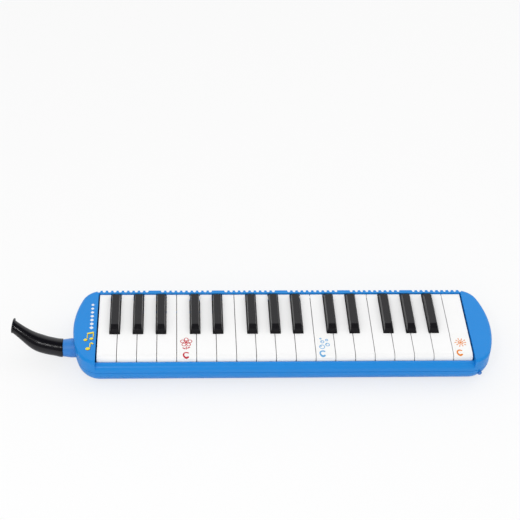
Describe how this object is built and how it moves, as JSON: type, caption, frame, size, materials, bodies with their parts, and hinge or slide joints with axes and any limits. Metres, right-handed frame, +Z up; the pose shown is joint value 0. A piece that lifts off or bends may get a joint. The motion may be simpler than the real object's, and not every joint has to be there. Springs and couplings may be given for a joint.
{
  "type": "melodica",
  "caption": "Free-standing keyboard wind instrument with hinged piano keys over reeds, a rounded plastic body, a curved mouthpiece and a drain button.",
  "frame": {"origin": "middle of the flat underside, below the middle of the keyboard", "axes": "+X along the keyboard towards the high notes, -Y towards the player, +Z up"},
  "size_m": [0.482, 0.1032, 0.044],
  "materials": {
    "white_key_plastic": "moulded, high gloss",
    "black_key_plastic": "moulded, satin",
    "note_sticker_c4": "printed film",
    "note_sticker_c5": "printed film",
    "note_sticker_c6": "printed film",
    "blue_case_plastic": "moulded, soft gloss",
    "blue_pipe_plastic": "moulded, soft gloss",
    "screw_steel": "zinc plated",
    "axle_steel": "ground",
    "spring_steel": "rolled strip and wire",
    "frame_plastic": "moulded",
    "rest_felt": "pressed wool felt",
    "cell_plastic": "moulded",
    "reed_plate_brass": "rolled sheet",
    "reed_brass": "rolled strip",
    "seal_rubber": "moulded",
    "mouthpiece_plastic": "moulded, high gloss",
    "drain_button_plastic": "moulded"
  },
  "bodies": {
    "melodica_body": {"upper_case": "blue_case_plastic", "lower_case": "blue_case_plastic", "case_screws": "screw_steel", "key_axle": "axle_steel", "key_frame": "frame_plastic", "key_frame_screws": "screw_steel", "key_springs": "spring_steel", "key_rest_felt": "rest_felt", "reed_block": "cell_plastic", "reed_plate_low": "reed_plate_brass", "reed_plate_high": "reed_plate_brass", "reeds": "reed_brass", "reed_rivets": "reed_brass", "chamber_gasket": "seal_rubber", "air_chamber": "cell_plastic", "chamber_screws": "screw_steel", "blow_pipe": "blue_pipe_plastic", "blow_pipe_seal": "seal_rubber", "drain_spring": "spring_steel"},
    "key_f3": {"key_f3": "white_key_plastic"},
    "key_f3_sharp": {"key_f3_sharp": "black_key_plastic"},
    "key_g3": {"key_g3": "white_key_plastic"},
    "key_g3_sharp": {"key_g3_sharp": "black_key_plastic"},
    "key_a3": {"key_a3": "white_key_plastic"},
    "key_a3_sharp": {"key_a3_sharp": "black_key_plastic"},
    "key_b3": {"key_b3": "white_key_plastic"},
    "key_c4": {"key_c4": "white_key_plastic", "note_sticker_c4": "note_sticker_c4"},
    "key_c4_sharp": {"key_c4_sharp": "black_key_plastic"},
    "key_d4": {"key_d4": "white_key_plastic"},
    "key_d4_sharp": {"key_d4_sharp": "black_key_plastic"},
    "key_e4": {"key_e4": "white_key_plastic"},
    "key_f4": {"key_f4": "white_key_plastic"},
    "key_f4_sharp": {"key_f4_sharp": "black_key_plastic"},
    "key_g4": {"key_g4": "white_key_plastic"},
    "key_g4_sharp": {"key_g4_sharp": "black_key_plastic"},
    "key_a4": {"key_a4": "white_key_plastic"},
    "key_a4_sharp": {"key_a4_sharp": "black_key_plastic"},
    "key_b4": {"key_b4": "white_key_plastic"},
    "key_c5": {"key_c5": "white_key_plastic", "note_sticker_c5": "note_sticker_c5"},
    "key_c5_sharp": {"key_c5_sharp": "black_key_plastic"},
    "key_d5": {"key_d5": "white_key_plastic"},
    "key_d5_sharp": {"key_d5_sharp": "black_key_plastic"},
    "key_e5": {"key_e5": "white_key_plastic"},
    "key_f5": {"key_f5": "white_key_plastic"},
    "key_f5_sharp": {"key_f5_sharp": "black_key_plastic"},
    "key_g5": {"key_g5": "white_key_plastic"},
    "key_g5_sharp": {"key_g5_sharp": "black_key_plastic"},
    "key_a5": {"key_a5": "white_key_plastic"},
    "key_a5_sharp": {"key_a5_sharp": "black_key_plastic"},
    "key_b5": {"key_b5": "white_key_plastic"},
    "key_c6": {"key_c6": "white_key_plastic", "note_sticker_c6": "note_sticker_c6"},
    "mouthpiece_seal": {"mouthpiece_seal": "seal_rubber"},
    "mouthpiece": {"mouthpiece": "mouthpiece_plastic"},
    "drain_button": {"drain_button": "drain_button_plastic", "drain_seal": "seal_rubber"}
  },
  "joints": [
    {"name": "f3_press", "type": "hinge", "parent": "melodica_body", "child": "key_f3", "pos_m": [0, 0.0415, 0.026], "axis": [1, 0, 0], "range_deg": [0, 3.2], "stiffness_Nm_per_rad": 0.25, "springref_deg": -9.17, "deforming": ["key_springs"]},
    {"name": "f3_sharp_press", "type": "hinge", "parent": "melodica_body", "child": "key_f3_sharp", "pos_m": [0, 0.0415, 0.026], "axis": [1, 0, 0], "range_deg": [0, 3.2], "stiffness_Nm_per_rad": 0.25, "springref_deg": -9.17, "deforming": ["key_springs"]},
    {"name": "g3_press", "type": "hinge", "parent": "melodica_body", "child": "key_g3", "pos_m": [0, 0.0415, 0.026], "axis": [1, 0, 0], "range_deg": [0, 3.2], "stiffness_Nm_per_rad": 0.25, "springref_deg": -9.17, "deforming": ["key_springs"]},
    {"name": "g3_sharp_press", "type": "hinge", "parent": "melodica_body", "child": "key_g3_sharp", "pos_m": [0, 0.0415, 0.026], "axis": [1, 0, 0], "range_deg": [0, 3.2], "stiffness_Nm_per_rad": 0.25, "springref_deg": -9.17, "deforming": ["key_springs"]},
    {"name": "a3_press", "type": "hinge", "parent": "melodica_body", "child": "key_a3", "pos_m": [0, 0.0415, 0.026], "axis": [1, 0, 0], "range_deg": [0, 3.2], "stiffness_Nm_per_rad": 0.25, "springref_deg": -9.17, "deforming": ["key_springs"]},
    {"name": "a3_sharp_press", "type": "hinge", "parent": "melodica_body", "child": "key_a3_sharp", "pos_m": [0, 0.0415, 0.026], "axis": [1, 0, 0], "range_deg": [0, 3.2], "stiffness_Nm_per_rad": 0.25, "springref_deg": -9.17, "deforming": ["key_springs"]},
    {"name": "b3_press", "type": "hinge", "parent": "melodica_body", "child": "key_b3", "pos_m": [0, 0.0415, 0.026], "axis": [1, 0, 0], "range_deg": [0, 3.2], "stiffness_Nm_per_rad": 0.25, "springref_deg": -9.17, "deforming": ["key_springs"]},
    {"name": "c4_press", "type": "hinge", "parent": "melodica_body", "child": "key_c4", "pos_m": [0, 0.0415, 0.026], "axis": [1, 0, 0], "range_deg": [0, 3.2], "stiffness_Nm_per_rad": 0.25, "springref_deg": -9.17, "deforming": ["key_springs"]},
    {"name": "c4_sharp_press", "type": "hinge", "parent": "melodica_body", "child": "key_c4_sharp", "pos_m": [0, 0.0415, 0.026], "axis": [1, 0, 0], "range_deg": [0, 3.2], "stiffness_Nm_per_rad": 0.25, "springref_deg": -9.17, "deforming": ["key_springs"]},
    {"name": "d4_press", "type": "hinge", "parent": "melodica_body", "child": "key_d4", "pos_m": [0, 0.0415, 0.026], "axis": [1, 0, 0], "range_deg": [0, 3.2], "stiffness_Nm_per_rad": 0.25, "springref_deg": -9.17, "deforming": ["key_springs"]},
    {"name": "d4_sharp_press", "type": "hinge", "parent": "melodica_body", "child": "key_d4_sharp", "pos_m": [0, 0.0415, 0.026], "axis": [1, 0, 0], "range_deg": [0, 3.2], "stiffness_Nm_per_rad": 0.25, "springref_deg": -9.17, "deforming": ["key_springs"]},
    {"name": "e4_press", "type": "hinge", "parent": "melodica_body", "child": "key_e4", "pos_m": [0, 0.0415, 0.026], "axis": [1, 0, 0], "range_deg": [0, 3.2], "stiffness_Nm_per_rad": 0.25, "springref_deg": -9.17, "deforming": ["key_springs"]},
    {"name": "f4_press", "type": "hinge", "parent": "melodica_body", "child": "key_f4", "pos_m": [0, 0.0415, 0.026], "axis": [1, 0, 0], "range_deg": [0, 3.2], "stiffness_Nm_per_rad": 0.25, "springref_deg": -9.17, "deforming": ["key_springs"]},
    {"name": "f4_sharp_press", "type": "hinge", "parent": "melodica_body", "child": "key_f4_sharp", "pos_m": [0, 0.0415, 0.026], "axis": [1, 0, 0], "range_deg": [0, 3.2], "stiffness_Nm_per_rad": 0.25, "springref_deg": -9.17, "deforming": ["key_springs"]},
    {"name": "g4_press", "type": "hinge", "parent": "melodica_body", "child": "key_g4", "pos_m": [0, 0.0415, 0.026], "axis": [1, 0, 0], "range_deg": [0, 3.2], "stiffness_Nm_per_rad": 0.25, "springref_deg": -9.17, "deforming": ["key_springs"]},
    {"name": "g4_sharp_press", "type": "hinge", "parent": "melodica_body", "child": "key_g4_sharp", "pos_m": [0, 0.0415, 0.026], "axis": [1, 0, 0], "range_deg": [0, 3.2], "stiffness_Nm_per_rad": 0.25, "springref_deg": -9.17, "deforming": ["key_springs"]},
    {"name": "a4_press", "type": "hinge", "parent": "melodica_body", "child": "key_a4", "pos_m": [0, 0.0415, 0.026], "axis": [1, 0, 0], "range_deg": [0, 3.2], "stiffness_Nm_per_rad": 0.25, "springref_deg": -9.17, "deforming": ["key_springs"]},
    {"name": "a4_sharp_press", "type": "hinge", "parent": "melodica_body", "child": "key_a4_sharp", "pos_m": [0, 0.0415, 0.026], "axis": [1, 0, 0], "range_deg": [0, 3.2], "stiffness_Nm_per_rad": 0.25, "springref_deg": -9.17, "deforming": ["key_springs"]},
    {"name": "b4_press", "type": "hinge", "parent": "melodica_body", "child": "key_b4", "pos_m": [0, 0.0415, 0.026], "axis": [1, 0, 0], "range_deg": [0, 3.2], "stiffness_Nm_per_rad": 0.25, "springref_deg": -9.17, "deforming": ["key_springs"]},
    {"name": "c5_press", "type": "hinge", "parent": "melodica_body", "child": "key_c5", "pos_m": [0, 0.0415, 0.026], "axis": [1, 0, 0], "range_deg": [0, 3.2], "stiffness_Nm_per_rad": 0.25, "springref_deg": -9.17, "deforming": ["key_springs"]},
    {"name": "c5_sharp_press", "type": "hinge", "parent": "melodica_body", "child": "key_c5_sharp", "pos_m": [0, 0.0415, 0.026], "axis": [1, 0, 0], "range_deg": [0, 3.2], "stiffness_Nm_per_rad": 0.25, "springref_deg": -9.17, "deforming": ["key_springs"]},
    {"name": "d5_press", "type": "hinge", "parent": "melodica_body", "child": "key_d5", "pos_m": [0, 0.0415, 0.026], "axis": [1, 0, 0], "range_deg": [0, 3.2], "stiffness_Nm_per_rad": 0.25, "springref_deg": -9.17, "deforming": ["key_springs"]},
    {"name": "d5_sharp_press", "type": "hinge", "parent": "melodica_body", "child": "key_d5_sharp", "pos_m": [0, 0.0415, 0.026], "axis": [1, 0, 0], "range_deg": [0, 3.2], "stiffness_Nm_per_rad": 0.25, "springref_deg": -9.17, "deforming": ["key_springs"]},
    {"name": "e5_press", "type": "hinge", "parent": "melodica_body", "child": "key_e5", "pos_m": [0, 0.0415, 0.026], "axis": [1, 0, 0], "range_deg": [0, 3.2], "stiffness_Nm_per_rad": 0.25, "springref_deg": -9.17, "deforming": ["key_springs"]},
    {"name": "f5_press", "type": "hinge", "parent": "melodica_body", "child": "key_f5", "pos_m": [0, 0.0415, 0.026], "axis": [1, 0, 0], "range_deg": [0, 3.2], "stiffness_Nm_per_rad": 0.25, "springref_deg": -9.17, "deforming": ["key_springs"]},
    {"name": "f5_sharp_press", "type": "hinge", "parent": "melodica_body", "child": "key_f5_sharp", "pos_m": [0, 0.0415, 0.026], "axis": [1, 0, 0], "range_deg": [0, 3.2], "stiffness_Nm_per_rad": 0.25, "springref_deg": -9.17, "deforming": ["key_springs"]},
    {"name": "g5_press", "type": "hinge", "parent": "melodica_body", "child": "key_g5", "pos_m": [0, 0.0415, 0.026], "axis": [1, 0, 0], "range_deg": [0, 3.2], "stiffness_Nm_per_rad": 0.25, "springref_deg": -9.17, "deforming": ["key_springs"]},
    {"name": "g5_sharp_press", "type": "hinge", "parent": "melodica_body", "child": "key_g5_sharp", "pos_m": [0, 0.0415, 0.026], "axis": [1, 0, 0], "range_deg": [0, 3.2], "stiffness_Nm_per_rad": 0.25, "springref_deg": -9.17, "deforming": ["key_springs"]},
    {"name": "a5_press", "type": "hinge", "parent": "melodica_body", "child": "key_a5", "pos_m": [0, 0.0415, 0.026], "axis": [1, 0, 0], "range_deg": [0, 3.2], "stiffness_Nm_per_rad": 0.25, "springref_deg": -9.17, "deforming": ["key_springs"]},
    {"name": "a5_sharp_press", "type": "hinge", "parent": "melodica_body", "child": "key_a5_sharp", "pos_m": [0, 0.0415, 0.026], "axis": [1, 0, 0], "range_deg": [0, 3.2], "stiffness_Nm_per_rad": 0.25, "springref_deg": -9.17, "deforming": ["key_springs"]},
    {"name": "b5_press", "type": "hinge", "parent": "melodica_body", "child": "key_b5", "pos_m": [0, 0.0415, 0.026], "axis": [1, 0, 0], "range_deg": [0, 3.2], "stiffness_Nm_per_rad": 0.25, "springref_deg": -9.17, "deforming": ["key_springs"]},
    {"name": "c6_press", "type": "hinge", "parent": "melodica_body", "child": "key_c6", "pos_m": [0, 0.0415, 0.026], "axis": [1, 0, 0], "range_deg": [0, 3.2], "stiffness_Nm_per_rad": 0.25, "springref_deg": -9.17, "deforming": ["key_springs"]},
    {"name": "mouthpiece_pull", "type": "slide", "parent": "melodica_body", "child": "mouthpiece_seal", "axis": [-1, 0, 0], "range_m": [0, 0.02]},
    {"name": "mouthpiece_turn", "type": "hinge", "parent": "mouthpiece_seal", "child": "mouthpiece", "pos_m": [-0.226, -0.0168, 0.02], "axis": [1, 0, 0], "continuous": true},
    {"name": "drain_press", "type": "slide", "parent": "melodica_body", "child": "drain_button", "axis": [-0.2079, 0.9781, 0], "range_m": [0, 0.0016], "stiffness_N_per_m": 300, "springref_m": -0.004, "deforming": ["drain_spring"]}
  ]
}
